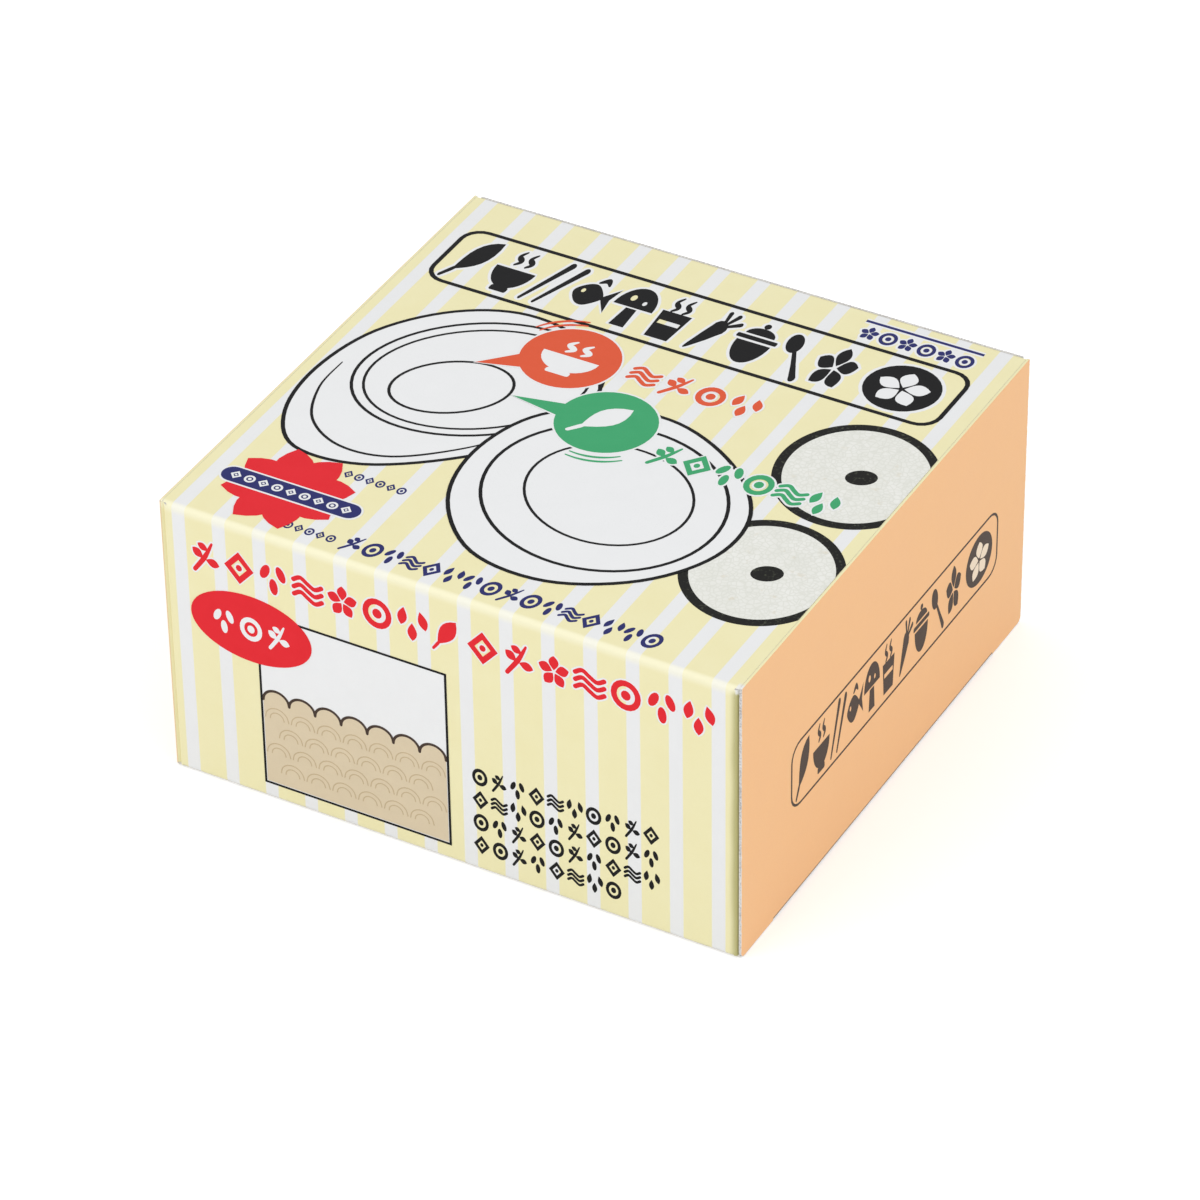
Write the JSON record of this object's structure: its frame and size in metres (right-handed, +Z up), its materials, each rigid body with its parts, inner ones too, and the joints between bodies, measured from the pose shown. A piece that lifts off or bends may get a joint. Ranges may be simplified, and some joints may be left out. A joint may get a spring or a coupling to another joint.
{
  "type": "boxed rice ball mould",
  "caption": "Folding carton with striped panels and tuck ends that hold a lidded triangular rice ball mould with a press-out tongue in its floor.",
  "frame": {"origin": "middle of the face that the carton stands on", "axes": "+X from the left tuck end to the right tuck end, +Y from the front panel to the back panel, +Z up"},
  "size_m": [0.12, 0.1156, 0.0615],
  "materials": {
    "striped_card": "satin",
    "orange_card": "satin",
    "plain_card": "matte",
    "white_plastic": "satin"
  },
  "bodies": {
    "carton": {"top_panel": "striped_card", "front_panel": "striped_card", "back_panel": "striped_card", "bottom_panel": "plain_card", "glue_flap": "plain_card"},
    "mould": {"mould_case": "white_plastic"},
    "lid": {"mould_lid": "white_plastic"},
    "tab": {"push_tab": "white_plastic"},
    "right_end_panel": {"right_end_panel": "orange_card"},
    "right_tuck_flap": {"right_tuck_flap": "orange_card"},
    "right_front_dust_flap": {"right_front_dust_flap": "plain_card"},
    "right_back_dust_flap": {"right_back_dust_flap": "plain_card"},
    "left_end_panel": {"left_end_panel": "orange_card"},
    "left_tuck_flap": {"left_tuck_flap": "orange_card"},
    "left_front_dust_flap": {"left_front_dust_flap": "plain_card"},
    "left_back_dust_flap": {"left_back_dust_flap": "plain_card"}
  },
  "joints": [
    {"name": "right_end_crease", "type": "hinge", "parent": "carton", "child": "right_end_panel", "pos_m": [0.0597, 0, 0.0612], "axis": [0, -1, 0], "range_deg": [0, 180]},
    {"name": "right_tuck_crease", "type": "hinge", "parent": "right_end_panel", "child": "right_tuck_flap", "pos_m": [0.0591, 0, 0.00155], "axis": [0, 1, 0], "range_deg": [0, 45]},
    {"name": "right_front_dust_crease", "type": "hinge", "parent": "carton", "child": "right_front_dust_flap", "pos_m": [0.05815, -0.05655, 0.03], "axis": [0, 0, -1], "range_deg": [0, 90]},
    {"name": "right_back_dust_crease", "type": "hinge", "parent": "carton", "child": "right_back_dust_flap", "pos_m": [0.05815, 0.05655, 0.03], "axis": [0, 0, 1], "range_deg": [0, 90]},
    {"name": "left_end_crease", "type": "hinge", "parent": "carton", "child": "left_end_panel", "pos_m": [-0.0597, 0, 0.0612], "axis": [0, 1, 0], "range_deg": [0, 180]},
    {"name": "left_tuck_crease", "type": "hinge", "parent": "left_end_panel", "child": "left_tuck_flap", "pos_m": [-0.0591, 0, 0.00155], "axis": [0, -1, 0], "range_deg": [0, 45]},
    {"name": "left_front_dust_crease", "type": "hinge", "parent": "carton", "child": "left_front_dust_flap", "pos_m": [-0.05815, -0.05655, 0.03], "axis": [0, 0, 1], "range_deg": [0, 90]},
    {"name": "left_back_dust_crease", "type": "hinge", "parent": "carton", "child": "left_back_dust_flap", "pos_m": [-0.05815, 0.05655, 0.03], "axis": [0, 0, -1], "range_deg": [0, 90]},
    {"name": "mould_slide", "type": "slide", "parent": "carton", "child": "mould", "axis": [1, 0, 0], "range_m": [0, 0.0519]},
    {"name": "lid_lift", "type": "slide", "parent": "mould", "child": "lid", "axis": [0, 0, 1], "range_m": [0, 0.0085]},
    {"name": "tab_press", "type": "hinge", "parent": "mould", "child": "tab", "pos_m": [-0.01792, 0, 0.01167], "axis": [0, -1, 0], "range_deg": [0, 15], "stiffness_Nm_per_rad": 0.2}
  ],
  "couplings": [
    {"joint": "right_tuck_crease", "follows": "right_end_crease", "ratio": 0.25},
    {"joint": "right_front_dust_crease", "follows": "right_end_crease", "ratio": 0.5},
    {"joint": "right_back_dust_crease", "follows": "right_end_crease", "ratio": 0.5},
    {"joint": "left_tuck_crease", "follows": "left_end_crease", "ratio": 0.25},
    {"joint": "left_front_dust_crease", "follows": "left_end_crease", "ratio": 0.5},
    {"joint": "left_back_dust_crease", "follows": "left_end_crease", "ratio": 0.5},
    {"joint": "mould_slide", "follows": "right_end_crease", "m_per_rad": 0.0165}
  ]
}
